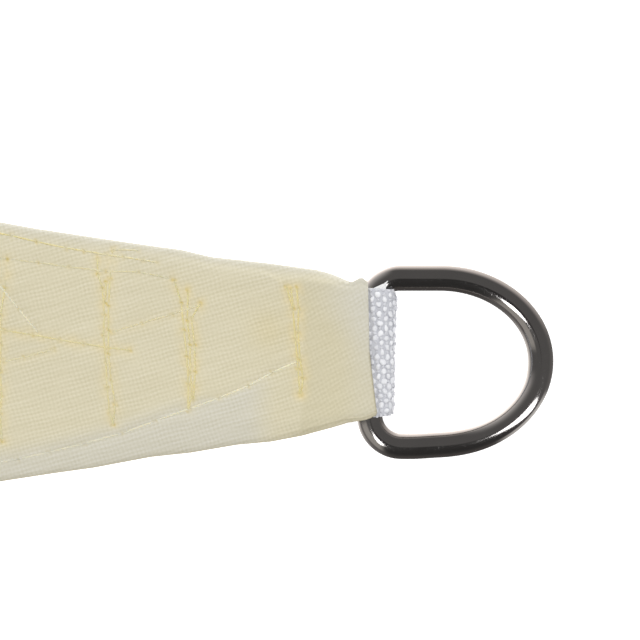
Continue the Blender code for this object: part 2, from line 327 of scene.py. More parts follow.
def corner_relief(x, y, to_edge, seams):
    """The low forms that folding and sewing give a corner, on top of the cloth's thickness: puckers
    along the seams with a dint at each hole, the flap's edge, a crease, the end's step and soft waves."""
    near = smooth((x + RELIEF_END) / RELIEF_FADE)
    relief = np.zeros_like(x)
    for name, holes in seams.items():
        way = way_to_line(x, y, holes)
        depth, width = PALE_PUCKER if name in PALE_SEAMS else PUCKER
        relief += 0.35 * depth * bell(way - 2.6 * width, width) - depth * bell(way, width)
        for hole_x, hole_y in holes:
            relief -= HOLE_DINT[0] * bell(np.hypot(x - hole_x, y - hole_y), HOLE_DINT[1])
    fold = np.array(in_metres(FLAP_FOLD))
    fold_y = np.interp(x, fold[:, 0], fold[:, 1])
    past_fold = smooth((y - fold_y) / (0.7 * MM) + 0.5)
    flap = smooth((x + 30.5 * MM) / (5 * MM)) * smooth((-12.5 * MM - x) / (3 * MM))
    relief += flap * (FLAP_BEAD * bell(y - fold_y + 0.5 * MM, 0.6 * MM) - FLAP_STEP * past_fold)
    relief += CREASE[0] * bell(way_to_line(x, y, in_metres(SOFT_CREASE)), CREASE[1])
    relief += END_STEP * smooth(past_end_fold(x, y) / (1.4 * MM))
    bent = x / (5.3 * MM) + 0.8 * np.sin(y / (6.1 * MM))
    relief += BROAD_WAVES * np.sin(bent) * np.sin(y / (7.7 * MM) + 1.1)
    relief += FINE_WAVES * np.sin(x / (2.1 * MM) + y / (3.4 * MM)) * np.sin(y / (2.3 * MM) - x / (4.9 * MM))
    soft_rim = SOFT_RIM * (1 - smooth(to_edge / (1.6 * MM)))
    return relief * near * smooth(to_edge / (1.2 * MM)) - soft_rim


def row_ways():
    """Ways from the tip of the rows that both faces of the cloth have."""
    far = TIP_RADIUS - edge_point(0.5)[0]
    ways = [*np.linspace(0, MOUTH_SIDES, 5), MOUTH_SIDES + 0.3 * MM]
    fine_rows = round((POCKET_END - ways[-1]) / FINE_ROW)
    ways += list(np.linspace(ways[-1], POCKET_END, fine_rows + 1)[1:]) + [POCKET_END + 0.3 * MM]
    while ways[-1] < far:
        ways.append(ways[-1] + np.clip(ROW_GROWTH * (ways[-1] - GROWTH_FROM), FINE_ROW, WIDEST_ROW))
    growing = np.array(ways[ways.index(POCKET_END):])
    stretch = (far - growing[0]) / (growing[-1] - growing[0])
    return np.array(ways[: ways.index(POCKET_END)] + list(growing[0] + (growing - growing[0]) * stretch))


def column_places(half_width, way):
    """Places across a row, from its middle to one edge, as shares of the half width."""
    pocket = min(POCKET_HALF, half_width - 1.0 * MM)
    hem = max(half_width - HEM_WIDTH, (pocket + POCKET_WALL + half_width) / 2)
    hem_start = max(hem - HEM_STEP, pocket + POCKET_WALL + 0.8 * (hem - pocket - POCKET_WALL))
    count = POCKET_COLUMNS + FIELD_COLUMNS + 1
    near = [pocket * i / POCKET_COLUMNS for i in range(POCKET_COLUMNS + 1)]
    near += list(np.linspace(pocket + POCKET_WALL, hem_start, FIELD_COLUMNS + 1))
    even = [hem_start * i / count for i in range(count + 1)]
    spread = smooth((way - SPREAD_FROM) / SPREAD_RUN)
    places = [a + (b - a) * spread for a, b in zip(near, even)]
    places += list(np.linspace(hem, half_width, HEM_COLUMNS + 1))
    return np.array(places) / half_width


def halved(values):
    """The same row of values with the middle of each step put in."""
    full = np.empty(2 * len(values) - 1)
    full[::2] = values
    full[1::2] = (values[1:] + values[:-1]) / 2
    return full


def corner_surface():
    """A corner's grid in its own frame, up to the rim: x, y and the way to the edge, and the rim's radii."""
    far_edge = TIP_RADIUS - edge_point(0.5)[0]
    rows_x, rows_y, rows_edge, radii = [], [], [], []
    for way in halved(row_ways()):
        edge_x, edge_y = edge_point(share_at(way))
        axis_x = TIP_RADIUS - way * (1 + (TIP_RADIUS / far_edge - 1) * (way / far_edge) ** 2)
        radius = (0.5 + 0.5 * smooth((way - 3 * MM) / (3 * MM))) * MM
        half = edge_y - radius
        places = halved(column_places(half, way))
        column = np.concatenate([-places[:0:-1], places])
        x = axis_x + (edge_x - axis_x) * np.abs(column) - TIP_RADIUS
        y = half * column
        near_tip = smooth(1 - way / TIP_STRETCH)
        upper, lower = (np.interp(way, *np.array(edge).T * MM) for edge in (UPPER_EDGE, LOWER_EDGE))
        uneven = np.where(column > 0, upper, -lower) * np.abs(column) ** 5
        x -= np.where(y > 0, TIP_SKEW_UP, TIP_SKEW_DOWN) * y * near_tip
        x -= radius * smooth(1 - way / (2 * MM))
        y += uneven - TIP_DRAW_IN * column * near_tip
        rows_x.append(x)
        rows_y.append(y)
        rows_edge.append(half * (1 - np.abs(column)))
        radii.append(radius)
    return np.array(rows_x), np.array(rows_y), np.array(rows_edge), np.array(radii)


def round_the_edge(grid):
    """A grid's border as one path: down one edge to the tip, across it, and out along the other."""
    return np.concatenate([grid[::-1, 0], grid[0, 1:], grid[1:, -1]])


RIM_TURNS = [math.radians(a) for a in (52, 8, -40)]  # the rim's rings, as turns about its middle
RIM_SHADES = (0.28, 0.85, 1.0)  # how much painted shade each ring shows on the darker lower edge
RIM_INNER = 0.05  # the row of points just inside them shows this much of it, and more at the tip
RIM_TIP = 0.40
RIM_UPPER = 0.10  # the upper edge shows this much painted shade, fading inwards
HOLE_SPOT = 0.34 * MM
FAINT_HOLE = 0.3  # how dark a hole is where its thread hardly shows
PALE_HOLE = 0.5  # the pale seams' holes are this dark beside the others'
STAIN_WIDTH = 1.3 * MM
STAIN_FADE = 0.7  # the stain's loss on the hem's paler tone
UPPER_BAND = 0.58  # painted light: the hem's paler tone at the upper edge, and how far it fades inwards
UPPER_FADE = 1.6 * MM
LOWER_BAND = 0.8  # and below the long seam, from this way on
LOWER_FROM = 17.5 * MM
WIDE_FROM = 28 * MM  # from this way on, past the rows at the end, it starts above that seam
OVER_SEAM = 4.2 * MM

grid_x, grid_y, grid_edge, rim_radius = corner_surface()
rows, columns = grid_x.shape
points, uvs, faces = [], [], []
paint = {name: [] for name in ("needle_holes", "thread_stain", "hem_band", "end_fold", "rim")}
top_ids = np.arange(CORNERS * rows * columns).reshape(CORNERS, rows, columns)
under_ids = top_ids[:, ::2, ::2] + top_ids.size
middle = columns // 2
for ids, mid in ((top_ids, middle), (under_ids, middle // 2)):
    rim_half = ids[:, -1, :mid].copy()
    for corner in range(CORNERS):
        ids[corner, -1, mid + 1:] = rim_half[(corner + 1) % CORNERS, ::-1]
    ids[:, -1, mid] = ids[0, -1, mid]

path_x, path_y = round_the_edge(grid_x), round_the_edge(grid_y)
along = np.stack([np.gradient(path_x), np.gradient(path_y)])
outward = np.stack([along[1], -along[0]]) / np.hypot(*along)
edge_out = -EDGE_INWARDS / np.linalg.norm(EDGE_INWARDS)
outward[:, -1] = edge_out
outward[:, 0] = edge_out[0], -edge_out[1]
path_radius = np.concatenate([rim_radius[::-1], np.full(columns - 2, rim_radius[0]), rim_radius])
path_length = len(path_x)
ring_ids = np.arange(CORNERS * len(RIM_TURNS) * path_length).reshape(CORNERS, len(RIM_TURNS), path_length)
ring_ids += 2 * top_ids.size
for corner in range(CORNERS):
    ring_ids[corner, :, -1] = ring_ids[(corner + 1) % CORNERS, :, 0]


def paint_corner(corner, x, y, to_edge):
    """What a corner's finish follows: needle holes, thread stains, its hem with painted light at its upper
    edge and lip, its end, and painted shade along its edges.
    """
    holes, stain = np.zeros_like(x), np.zeros_like(x)
    for name, line in seams_of[corner].items():
        pale, shown = name in PALE_SEAMS, shown_along(name)
        for (hole_x, hole_y), share in zip(line, shown):
            dark = (PALE_HOLE if pale else 1.0) * (FAINT_HOLE + (1 - FAINT_HOLE) * share)
            holes = np.maximum(holes, dark * bell(np.hypot(x - hole_x, y - hole_y), HOLE_SPOT))
        if not pale and not name.startswith("hem"):
            stain = np.maximum(stain, shown.mean() * bell(way_to_line(x, y, line), STAIN_WIDTH))
    if corner == 0:
        smudge = bell(np.hypot(x - SMUDGE[0], y - SMUDGE[1]), SMUDGE_WIDTH)
        holes = np.maximum(holes, SMUDGE_DEPTH * smudge)
    seam = np.array(seams_of[corner]["long_seam"])[::-1]
    past_rows = smooth((-WIDE_FROM - x) / (8 * MM))
    below = np.interp(x, seam[:, 0], seam[:, 1]) - y + OVER_SEAM * past_rows
    low_band = smooth(below / ((0.8 + 4.4 * past_rows) * MM)) * smooth((-LOWER_FROM - x) / (7 * MM))
    low_band_end = smooth((x + 0.14) / 0.05)
    # Painted light: the hem's paler, bluer tone along the upper edge, and over the lip at the tip where the
    # cloth curves.
    edge_band = UPPER_BAND * np.exp(-to_edge / UPPER_FADE) * (y > 0)
    lip_width = (7 + 7 * smooth(y / (12 * MM))) * MM
    lip = smooth(x / lip_width + 1) * (0.35 + 0.65 * smooth((y + 9 * MM) / (18 * MM)))
    # Painted shade: the lower edge darker, more towards the tip, and the upper edge a little darker, fading
    # inwards.
    edge_shade = (RIM_INNER + RIM_TIP * smooth(x / (28 * MM) + 1)) * (y < 0) * smooth(1 - to_edge / (0.3 * MM))
    edge_shade += RIM_UPPER * np.exp(-to_edge / (3 * MM)) * (y > 0) * smooth((-5 * MM - x) / (8 * MM))
    return dict(
        needle_holes=holes,
        thread_stain=stain * (1 - STAIN_FADE * low_band),
        hem_band=np.maximum(LOWER_BAND * low_band * low_band_end, np.maximum(edge_band, lip)),
        end_fold=smooth(past_end_fold(x, y) / (0.8 * MM) + 0.5),
        rim=edge_shade,
    )


def add_vertices(corner, x, y, z, uv, **layers):
    """Puts a corner's points on the floor, with their place on the weave and their paint."""
    world_x, world_y = turned(x + TIP_RADIUS, y, corner * TURN)
    u, v = turned(*turned(uv[0] + TIP_RADIUS, uv[1], corner * TURN), -THREAD_TILT)
    lift = ripple_height(world_x, world_y)
    points.append(np.stack([world_x - BOX_SHIFT, world_y, lift + z], axis=-1).reshape(-1, 3))
    uvs.append(np.stack([u, v], axis=-1).reshape(-1, 2))
    for name, values in paint.items():
        values.append(np.broadcast_to(layers.get(name, 0.0), np.shape(x)).reshape(-1))


seams_of = [corner_seams(corner) for corner in range(CORNERS)]
tops = []
for corner in range(CORNERS):
    top = cloth_thickness(grid_x, grid_y, grid_edge)
    top = top + corner_relief(grid_x, grid_y, grid_edge, seams_of[corner])
    top = np.maximum(top, underside(grid_x, grid_y) + THINNEST)
    tops.append((top, paint_corner(corner, grid_x, grid_y, grid_edge)))
    add_vertices(corner, grid_x, grid_y, top, (grid_x, grid_y), **tops[-1][1])
for corner in range(CORNERS):
    layers = {name: tops[corner][1][name] for name in ("hem_band", "end_fold")}
    add_vertices(corner, grid_x, grid_y, underside(grid_x, grid_y), (grid_x, grid_y), **layers)
for corner in range(CORNERS):
    top, layers = tops[corner]
    path_top = round_the_edge(top)
    path_under = round_the_edge(underside(grid_x, grid_y))
    band, end = round_the_edge(layers["hem_band"]), round_the_edge(layers["end_fold"])
    # The rim's rings carry painted light: painted shade on the lower edge, and the hem's paler tone on the
    # upper edge.
    for turn, shade in zip(RIM_TURNS, RIM_SHADES):
        band = np.maximum(band, (path_y > 0) * (0.8 + 0.2 * shade))
        out = path_radius * math.cos(turn)
        x, y = path_x + outward[0] * out, path_y + outward[1] * out
        z = (path_top + path_under) / 2 + (path_top - path_under) / 2 * math.sin(turn)
        arc = path_radius * (math.pi / 2 - turn)
        uv = (path_x + outward[0] * arc, path_y + outward[1] * arc)
        add_vertices(corner, x, y, z, uv, hem_band=band, end_fold=end, rim=(path_y < 0) * shade)

for corner in range(CORNERS):
    for ids, way in ((top_ids[corner], 1), (under_ids[corner], -1)):
        quads = np.stack([ids[:-1, :-1], ids[:-1, 1:], ids[1:, 1:], ids[1:, :-1]], axis=-1).reshape(-1, 4)
        faces += quads[:, ::way].tolist()
    rings = [round_the_edge(top_ids[corner]), *ring_ids[corner]]
    for upper, lower in zip(rings, rings[1:]):
        faces += np.stack([upper[:-1], lower[:-1], lower[1:], upper[1:]], axis=-1).tolist()
    last, border = rings[-1], round_the_edge(under_ids[corner])
    for i in range(len(border) - 1):
        faces.append((last[2 * i], border[i], border[i + 1], last[2 * i + 2], last[2 * i + 1]))

points, uvs = np.concatenate(points), np.concatenate(uvs)
used, renumbered = np.unique(np.concatenate([np.ravel(face) for face in faces]), return_inverse=True)
sizes = np.cumsum([0] + [len(face) for face in faces])
faces = [renumbered[a:b].tolist() for a, b in zip(sizes, sizes[1:])]
cloth_mesh = bpy.data.meshes.new("sail_canvas")
cloth_mesh.from_pydata(points[used].tolist(), [], faces)
weave_map = cloth_mesh.uv_layers.new(name="weave")
loop_vertices = np.zeros(len(cloth_mesh.loops), np.int32)
cloth_mesh.loops.foreach_get("vertex_index", loop_vertices)
weave_map.uv.foreach_set("vector", uvs[used][loop_vertices].astype(np.float32).ravel())
for name, values in paint.items():
    layer = cloth_mesh.attributes.new(name, "FLOAT", "POINT")
    layer.data.foreach_set("value", np.concatenate(values)[used].astype(np.float32))


@contextmanager
def edited(mesh):
    """A mesh taken up for editing and put back."""
    bm = bmesh.new()
    bm.from_mesh(mesh)
    yield bm
    bm.to_mesh(mesh)
    bm.free()


def add_object(name, data):
    made = bpy.data.objects.new(name, data)
    bpy.context.scene.collection.objects.link(made)
    return made


# The layer under each webbing is a flat strip inside the pocket, rounded at its lip.
STRIP_SIZE = Matrix.Diagonal((POCKET_END - LOWER_LIP, 2 * (POCKET_HALF - 0.15 * MM), LAYER - 0.04 * MM, 1))
STRIP_PLACE = Matrix.Translation((-(POCKET_END + LOWER_LIP) / 2, 0, LAYER / 2 + 0.02 * MM))
with edited(cloth_mesh) as bm:
    for corner in range(CORNERS):
        strip = bmesh.ops.create_cube(bm, size=1, matrix=tip_matrix(corner) @ STRIP_PLACE @ STRIP_SIZE)
        edges = {edge for vert in strip["verts"] for edge in vert.link_edges}
        bmesh.ops.bevel(bm, geom=list(edges), offset=0.4 * MM, segments=3, affect="EDGES", profile=0.5)
cloth_mesh.shade_smooth()
cloth = add_object("sail_canvas", cloth_mesh)


CREAM_TONES = (0.618, 0.567, 0.405, 1), (0.662, 0.611, 0.446, 1)
END_TONE = (0.590, 0.540, 0.376, 1)
# the hem's own tone, also used as painted light at the upper edge and the lip
HEM_AND_LIGHT_TONE = (0.600, 0.577, 0.490, 1)
STAIN_TONE = (0.690, 0.595, 0.360, 1)
HOLE_TONE = (0.610, 0.470, 0.125, 1)
# the tone of the painted shade along the edges
EDGE_SHADE_TONE = (0.300, 0.262, 0.158, 1)
HALF = (0.5, 0.5, 0.5)  # a noise's middle


class Tree:
    """A node tree, its nodes added and joined in the order that they are read."""

    def __init__(self, tree):
        self.tree = tree

    def feed(self, socket, value):
        """Joins a socket to another one, or to each of a list, or sets it to a value."""
        for source in value if isinstance(value, list) else [value]:
            if isinstance(source, bpy.types.NodeSocket):
                self.tree.links.new(source, socket)
            else:
                socket.default_value = source

    def node(self, kind, inputs=(), output=0, **settings):
        """Adds a node, a shader's where its kind names no other, and returns one of its outputs."""
        made = self.tree.nodes.new(kind if "Node" in kind else "ShaderNode" + kind)
        for key, value in settings.items():
            setattr(made, key, value)
        for key, value in dict(inputs).items():
            self.feed(made.inputs[key], value)
        return made.outputs[output] if len(made.outputs) else None

    def math(self, operation, *terms):
        return self.node("Math", dict(enumerate(terms)), operation=operation)

    def vector(self, operation, a, b, output="Vector"):
        second = "Scale" if operation == "SCALE" else 1
        return self.node("VectorMath", {0: a, second: b}, output, operation=operation)

    def span(self, value, low, high, to_low=0.0, to_high=1.0, kind="LINEAR"):
        values = {"Value": value, "From Min": low, "From Max": high, "To Min": to_low, "To Max": to_high}
        return self.node("MapRange", values, interpolation_type=kind)


class Shading(Tree):
    """The nodes of one material."""

    def __init__(self, name):
        self.material = bpy.data.materials.new(name)
        self.material.use_nodes = True
        super().__init__(self.material.node_tree)

    def mix(self, share, a, b, blend="MIX"):
        made = self.tree.nodes.new("ShaderNodeMix")
        made.data_type, made.blend_type = "RGBA", blend
        for key, value in (("Factor_Float", share), ("A_Color", a), ("B_Color", b)):
            self.feed(next(s for s in made.inputs if s.identifier == key), value)
        return next(s for s in made.outputs if s.identifier == "Result_Color")

    def attribute(self, name):
        return self.node("Attribute", output="Fac", attribute_name=name)

    def noise(self, vector, scale, detail=2.0, output="Fac"):
        return self.node("TexNoise", {"Vector": vector, "Scale": scale, "Detail": detail}, output)

    def drawn_out(self, vector, scale):
        return self.node("Mapping", {"Vector": vector, "Scale": scale})

    def bump(self, height, strength, distance, **normal):
        return self.node("Bump", {"Height": height, "Strength": strength, "Distance": distance, **normal})

    def finish(self, **sockets):
        """Sets or joins the shader's sockets, by their names in small letters."""
        shader = self.tree.nodes["Principled BSDF"]
        for name, value in sockets.items():
            self.feed(shader.inputs[name.replace("_", " ").title().replace("Ior", "IOR")], value)
        return self.material


def plain_weave(look, place, across, along):
    """The canvas's crossing threads, from -1 to 1 in height; their rows face these ways, in degrees."""
    waves = []
    for way, share in ((across, 0.38), (along, 0.62)):
        a, step = math.radians(way), math.tau / WEAVE_PITCH
        to_way = look.vector("DOT_PRODUCT", place, (step * math.cos(a), step * math.sin(a), 0), "Value")
        waves.append(look.math("MULTIPLY", look.math("COSINE", to_way), share))
    return look.math("ADD", *waves)


def canvas_material():
    look = Shading("cream_canvas")
    place = look.node("UVMap", uv_map="weave")
    end = look.attribute("end_fold")
    wavy = look.noise(place, 160.0, output="Color")
    drift = look.vector("SCALE", look.vector("SUBTRACT", wavy, HALF), 0.9 * MM)
    threads = look.vector("ADD", place, drift)
    straight = look.math("MULTIPLY", plain_weave(look, threads, 0, 90), look.math("SUBTRACT", 1.0, end))
    turned_under = look.math("MULTIPLY", plain_weave(look, threads, 3, 104), look.math("MULTIPLY", end, 0.75))
    uneven = look.span(look.noise(threads, 330.0, 2.0), 0.3, 0.7, 0.5, 1.5)
    crossing = look.math("MULTIPLY", look.math("ADD", straight, turned_under), uneven)

    cloud = look.noise(place, 55.0, 3.0)
    slubs = look.noise(look.drawn_out(place, (0.12, 1.0, 1.0)), 900.0, 1.0)
    fleck = look.noise(place, 2600.0, 1.0)
    blots = look.span(look.noise(place, 420.0, 2.0), 0.35, 0.65, 0.25, 1.05)
    stain = look.math("MULTIPLY", look.attribute("thread_stain"), blots)
    cream = look.mix(cloud, *CREAM_TONES)
    cream = look.mix(look.math("MULTIPLY", end, 0.8), cream, END_TONE)
    # the hem's tone below the long seam, and painted light at the upper edge and lip
    cream = look.mix(look.attribute("hem_band"), cream, HEM_AND_LIGHT_TONE)
    cream = look.mix(stain, cream, STAIN_TONE)
    cream = look.mix(look.attribute("needle_holes"), cream, HOLE_TONE)
    # painted shade along the cloth's edges
    cream = look.mix(look.attribute("rim"), cream, EDGE_SHADE_TONE)

    # Painted shade of the weave: the colour darkens where the crossing threads dip and lightens on their
    # tops; slubs and flecks vary it too.
    shade = look.span(crossing, -1.0, 1.0, 0.925, 1.067)
    shade = look.math("MULTIPLY", shade, look.span(slubs, 0.3, 0.7, 0.975, 1.02))
    shade = look.math("MULTIPLY", shade, look.span(fleck, 0.3, 0.7, 0.965, 1.03))
    red, blue = look.math("POWER", shade, 0.92), look.math("POWER", shade, 1.5)
    tint = look.node("CombineColor", {"Red": red, "Green": shade, "Blue": blue})
    woven = look.bump(crossing, 0.35, 0.06 * MM)
    return look.finish(
        base_color=look.mix(1.0, cream, tint, "MULTIPLY"),
        roughness=look.span(cloud, 0.3, 0.7, 0.82, 0.92),
        normal=look.bump(slubs, 0.25, 0.08 * MM, Normal=woven),
        sheen_weight=0.12,
        sheen_roughness=0.5,
        specular_ior_level=0.25,
    )


cloth.data.materials.append(canvas_material())


# ---- The sewing ------------------------------------------------------------------------------
# Waxed polyester thread, cream yellow from the wax, in stitches of 3 to 7 mm. Every edge has two
# lines that hold its hem, and rows sewn to and fro across each corner hold the webbing's legs.

HEM_LINES = (3.0 * MM, 7.0 * MM)  # in from the edge
HEM_STITCH = 6.0 * MM
HEM_START = 77 * MM  # from a tip, where a corner's own seams hand over to the hem's
INNER_LINE_STOP = 92 * MM
HEM_SHOWN = 0.5
HEM_BOW = 1.03  # an edge's length beside that of its chord
HOLE_DRIFT = (0.12, 0.15)  # how far off its place a hem's needle hole is: in stitches along, in mm across
THREAD_R = 0.27 * MM
PALE_THREAD_R = 0.28 * MM
WAXED_TONES = (0.660, 0.570, 0.275, 1), (0.718, 0.636, 0.350, 1)
WAXED_SUNK = (0.645, 0.595, 0.428, 1)  # the tone of a thread that hardly shows
PALE_TONES = (0.765, 0.700, 0.490, 1), (0.830, 0.775, 0.590, 1)
PALE_SUNK = (0.625, 0.595, 0.480, 1)

cloth_tree = BVHTree.FromPolygons(
    [vertex.co[:] for vertex in cloth_mesh.vertices],
    [polygon.vertices[:] for polygon in cloth_mesh.polygons],
)


def on_cloth(x, y):
    """The point of the cloth's top face above or below a place on the floor."""
    hit = cloth_tree.ray_cast(Vector((x, y, 0.1)), Vector((0, 0, -1)))[0]
    return hit if hit else Vector((x, y, SHEET))


def thread_material(name, tones, sunk):
    """Waxed thread, which has the cloth's own tone where it shows less."""
    look = Shading(name)
    place = look.node("TexCoord", output="Object")
    tone = look.noise(place, 420.0, 2.0)
    fibre = look.noise(place, 6000.0, 1.0)
    return look.finish(
        base_color=look.mix(look.attribute("shown"), sunk, look.mix(tone, *tones)),
        roughness=look.span(fibre, 0.3, 0.7, 0.5, 0.7),
        normal=look.bump(fibre, 0.4, 0.05 * MM),
        sheen_weight=0.2,
        specular_ior_level=0.35,
        subsurface_weight=0.7,
        subsurface_radius=(1.0, 0.85, 0.6),
        subsurface_scale=0.5 * MM,
    )


class Growth(Tree):
    """A Geometry Nodes tree with named sizes, which grows pieces on the meshes that go in."""

    def __init__(self, name, **sizes):
        super().__init__(bpy.data.node_groups.new(name, "GeometryNodeTree"))
        for way in ("INPUT", "OUTPUT"):
            self.tree.interface.new_socket("Geometry", in_out=way, socket_type="NodeSocketGeometry")
        self.identifiers = {}
        for key, value in sizes.items():
            kind = "NodeSocketInt" if isinstance(value, int) else "NodeSocketFloat"
            socket = self.tree.interface.new_socket(key.replace("_", " "), in_out="INPUT", socket_type=kind)
            socket.default_value = value
            self.identifiers[key] = socket.identifier
        self.given = self.tree.nodes.new("NodeGroupInput").outputs

    def end_in(self, geometry, material):
        """Ends the tree with this geometry, made of this material."""
        painted = self.node("GeometryNodeSetMaterial", {"Geometry": geometry, "Material": material})
        self.node("NodeGroupOutput", {"Geometry": painted})

    def grow(self, name, mesh, **sizes):
        """Runs the tree on a mesh and returns the result as an object of its own with a plain mesh."""
        made = add_object(name, mesh)
        modifier = made.modifiers.new(name, "NODES")
        modifier.node_group = self.tree
        for key, value in sizes.items():
            modifier[self.identifiers[key]] = value
        bpy.context.view_layer.update()
        evaluated = made.evaluated_get(bpy.context.evaluated_depsgraph_get())
        plain = bpy.data.meshes.new_from_object(evaluated)
        made.modifiers.clear()
        made.data = plain
        plain.name = name
        return made


def stitch_tree(thread):
    """Each edge of the mesh that goes in becomes a twisted stitch that dips into the cloth at its ends."""
    sizes = dict(Thread_radius=THREAD_R, Crown=0.16 * MM, Dip=0.30 * MM, Twists=3.0, Sides=6, Steps=8)
    tree = Growth("stitches", **sizes)
    given, value = tree.given, tree.math
    line = tree.node("GeometryNodeMeshToCurve", {"Mesh": given["Geometry"]})
    line = tree.node("GeometryNodeResampleCurve", {"Curve": line, "Count": given["Steps"]})
    share = tree.node("GeometryNodeSplineParameter", output="Factor")
    from_middle = value("ABSOLUTE", value("MULTIPLY_ADD", share, 2.0, -1.0))
    dip = value("MULTIPLY", value("POWER", from_middle, 5.0), given["Dip"])
    offset = tree.node("CombineXYZ", {"Z": value("SUBTRACT", given["Crown"], dip)})
    line = tree.node("GeometryNodeSetPosition", {"Geometry": line, "Offset": offset})
    twist = value("MULTIPLY", value("MULTIPLY", share, given["Twists"]), math.tau)
    line = tree.node("GeometryNodeSetCurveTilt", {"Curve": line, "Tilt": twist})
    circle = {"Resolution": given["Sides"], "Radius": given["Thread radius"]}
    section = tree.node("GeometryNodeCurvePrimitiveCircle", circle)
    section = tree.node("GeometryNodeTransform", {"Geometry": section, "Scale": (1.0, 0.72, 1.0)})
    thickness = value("MULTIPLY_ADD", from_middle, -0.35, 1.0)
    parts = {"Curve": line, "Profile Curve": section, "Scale": thickness, "Fill Caps": True}
    tube = tree.node("GeometryNodeCurveToMesh", parts)
    smoothed = tree.node("GeometryNodeSetShadeSmooth", {"Geometry": tube})
    tree.end_in(tree.node("GeometryNodeRealizeInstances", {"Geometry": smoothed}), thread)
    return tree


def stitch_mesh(lines):
    """Two points and an edge for each stitch of the lines of needle holes, and how plainly it shows."""
    ends = [end for line in lines for pair in zip(line, line[1:]) for end in pair]
    mesh = bpy.data.meshes.new("stitch_lines")
    mesh.from_pydata([tuple(place) for place, _ in ends], [(i, i + 1) for i in range(0, len(ends), 2)], [])
    mesh.attributes.new("shown", "FLOAT", "POINT").data.foreach_set("value", [share for _, share in ends])
    return mesh


def on_corner(corner, name):
    """A seam's needle holes on the cloth, and how plainly the thread shows at each."""
    matrix = tip_matrix(corner)
    places = [on_cloth(*(matrix @ Vector((x, y, 0))).xy) for x, y in seams_of[corner][name]]
    return list(zip(places, shown_along(name)))


def hem_lines():
    """The needle holes of the hems' two lines, along all three edges."""
    uneven = np.random.default_rng(11)
    lines = []
    for corner in range(CORNERS):
        for inset in HEM_LINES:
            start = share_at(HEM_START)
            stop = 1 - (share_at(INNER_LINE_STOP) if inset == HEM_LINES[1] else start)
            count = round((stop - start) * np.linalg.norm(EDGE_CHORD) * HEM_BOW / HEM_STITCH)
            shares = np.linspace(start, stop, count + 1)
            drift = uneven.uniform(-HOLE_DRIFT[0], HOLE_DRIFT[0], count - 1)
            shares[1:-1] += drift * (shares[1] - shares[0])
            at, ahead = edge_point(shares), edge_point(shares + 1e-4)
            way = (ahead - at) / np.linalg.norm(ahead - at, axis=1)[:, None]
            sideways = uneven.uniform(-HOLE_DRIFT[1], HOLE_DRIFT[1], count + 1) * MM + inset
            spots = at + np.stack([-way[:, 1], way[:, 0]], axis=1) * sideways[:, None]
            world = [turned(x, y, corner * TURN) for x, y in spots]
            lines.append([(on_cloth(x - BOX_SHIFT, y), HEM_SHOWN) for x, y in world])
    return lines


def corner_lines(names):
    return [on_corner(corner, name) for corner in range(CORNERS) for name in names]


waxed = stitch_tree(thread_material("waxed_thread", WAXED_TONES, WAXED_SUNK))
pale = stitch_tree(thread_material("pale_thread", PALE_TONES, PALE_SUNK))
waxed_lines = corner_lines([name for name in SEAMS if name not in PALE_SEAMS])
pale_lines = corner_lines(PALE_SEAMS)
near_stitch = dict(Sides=8, Steps=12)
hem_stitch = dict(Sides=5, Steps=5, Crown=0.08 * MM, Dip=0.26 * MM)
sewing = [
    waxed.grow("corner_sewing", stitch_mesh(waxed_lines), **near_stitch),
    pale.grow("corner_seams", stitch_mesh(pale_lines), Thread_radius=PALE_THREAD_R, **near_stitch),
    waxed.grow("hem_sewing", stitch_mesh(hem_lines()), **hem_stitch),
]
for piece in sewing:
    piece.visible_shadow = False  # thread this thin, pressed into the cloth, leaves no dark line beside it
    piece.visible_diffuse = False
    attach(piece, "root")

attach(cloth, "root")
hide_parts("sail_cloth")


# ---- The webbing loops -----------------------------------------------------------------------
# A short length of 25 mm white polyester webbing at each corner, coarsely woven and folded round
# the ring's bar, with both legs inside the cloth and a frayed end at one edge of the fold.

WEB_SIDES = (-12.8 * MM, 11.0 * MM)  # the band's two edges, from the middle of the corner
SIDE_ROUND = 0.35 * MM
WRAP_START = 1.4 * MM  # the fold's half round has its middle this far past the bar's, and this reach
WRAP_X = 3.45 * MM
TUFT_STEP = 1.17 * MM  # along the webbing, from one row of tufts to the next
TUFT_PITCH = 1.8 * MM  # across it, from one tuft to the next in a row
CORE = 0.50 * MM  # the webbing's thickness between its tufts
TUFTS_FROM = -13 * MM  # further inside the cloth the band is bare
TUFT_SHARES = (0.54, 0.62, 0.30)  # a tuft's half sizes along, across and out, in mm
SMALL_TUFT = 0.58  # of that size, in the gaps
SIDE_TUFT = 0.60  # and along the band's two edges
TOP_SPREAD = 1.2 * MM  # the fold's top lies this much wider, over the ring's corner
SPREAD_STEPS = ((0.4, 3.4 * MM, 0.6 * MM), (0.6, 5.0 * MM, 1.3 * MM))  # shares of it, from what height up
NOSE_INSET = 0.5 * MM  # the lower edge is this much further in at the fold's nose
LEAN = math.tan(math.radians(5))  # the rows of tufts aren't square to the webbing
PULLED_IN = 0.55 * MM  # the fold's nose reaches this much less far at its lower side
FIBRES = ((1.0, 2.7, 0.9), (1.9, 3.6, 1.5), (2.6, 3.3, 0.8))  # a loose end's foot, tip and reach, in mm
FIBRE_HEIGHTS = (6.95 * MM, 7.0 * MM)  # at its foot and at its tip, as are its radii
FIBRE_RADII = (0.55 * MM, 0.05 * MM)
TUFT_SPREAD = (0.78, 1.2)  # the smallest and the largest tuft, of their usual size
# the white yarn's tone in painted shade, for the bare band between tufts, and in full light
YARN_SHADE_TO_WHITE = (0.565, 0.573, 0.612, 1), (0.975, 0.980, 1.0, 1)
YARN_CLOUD = (0.560, 0.565, 0.600, 1)
YARN_STRAND = (0.520, 0.525, 0.570, 1)


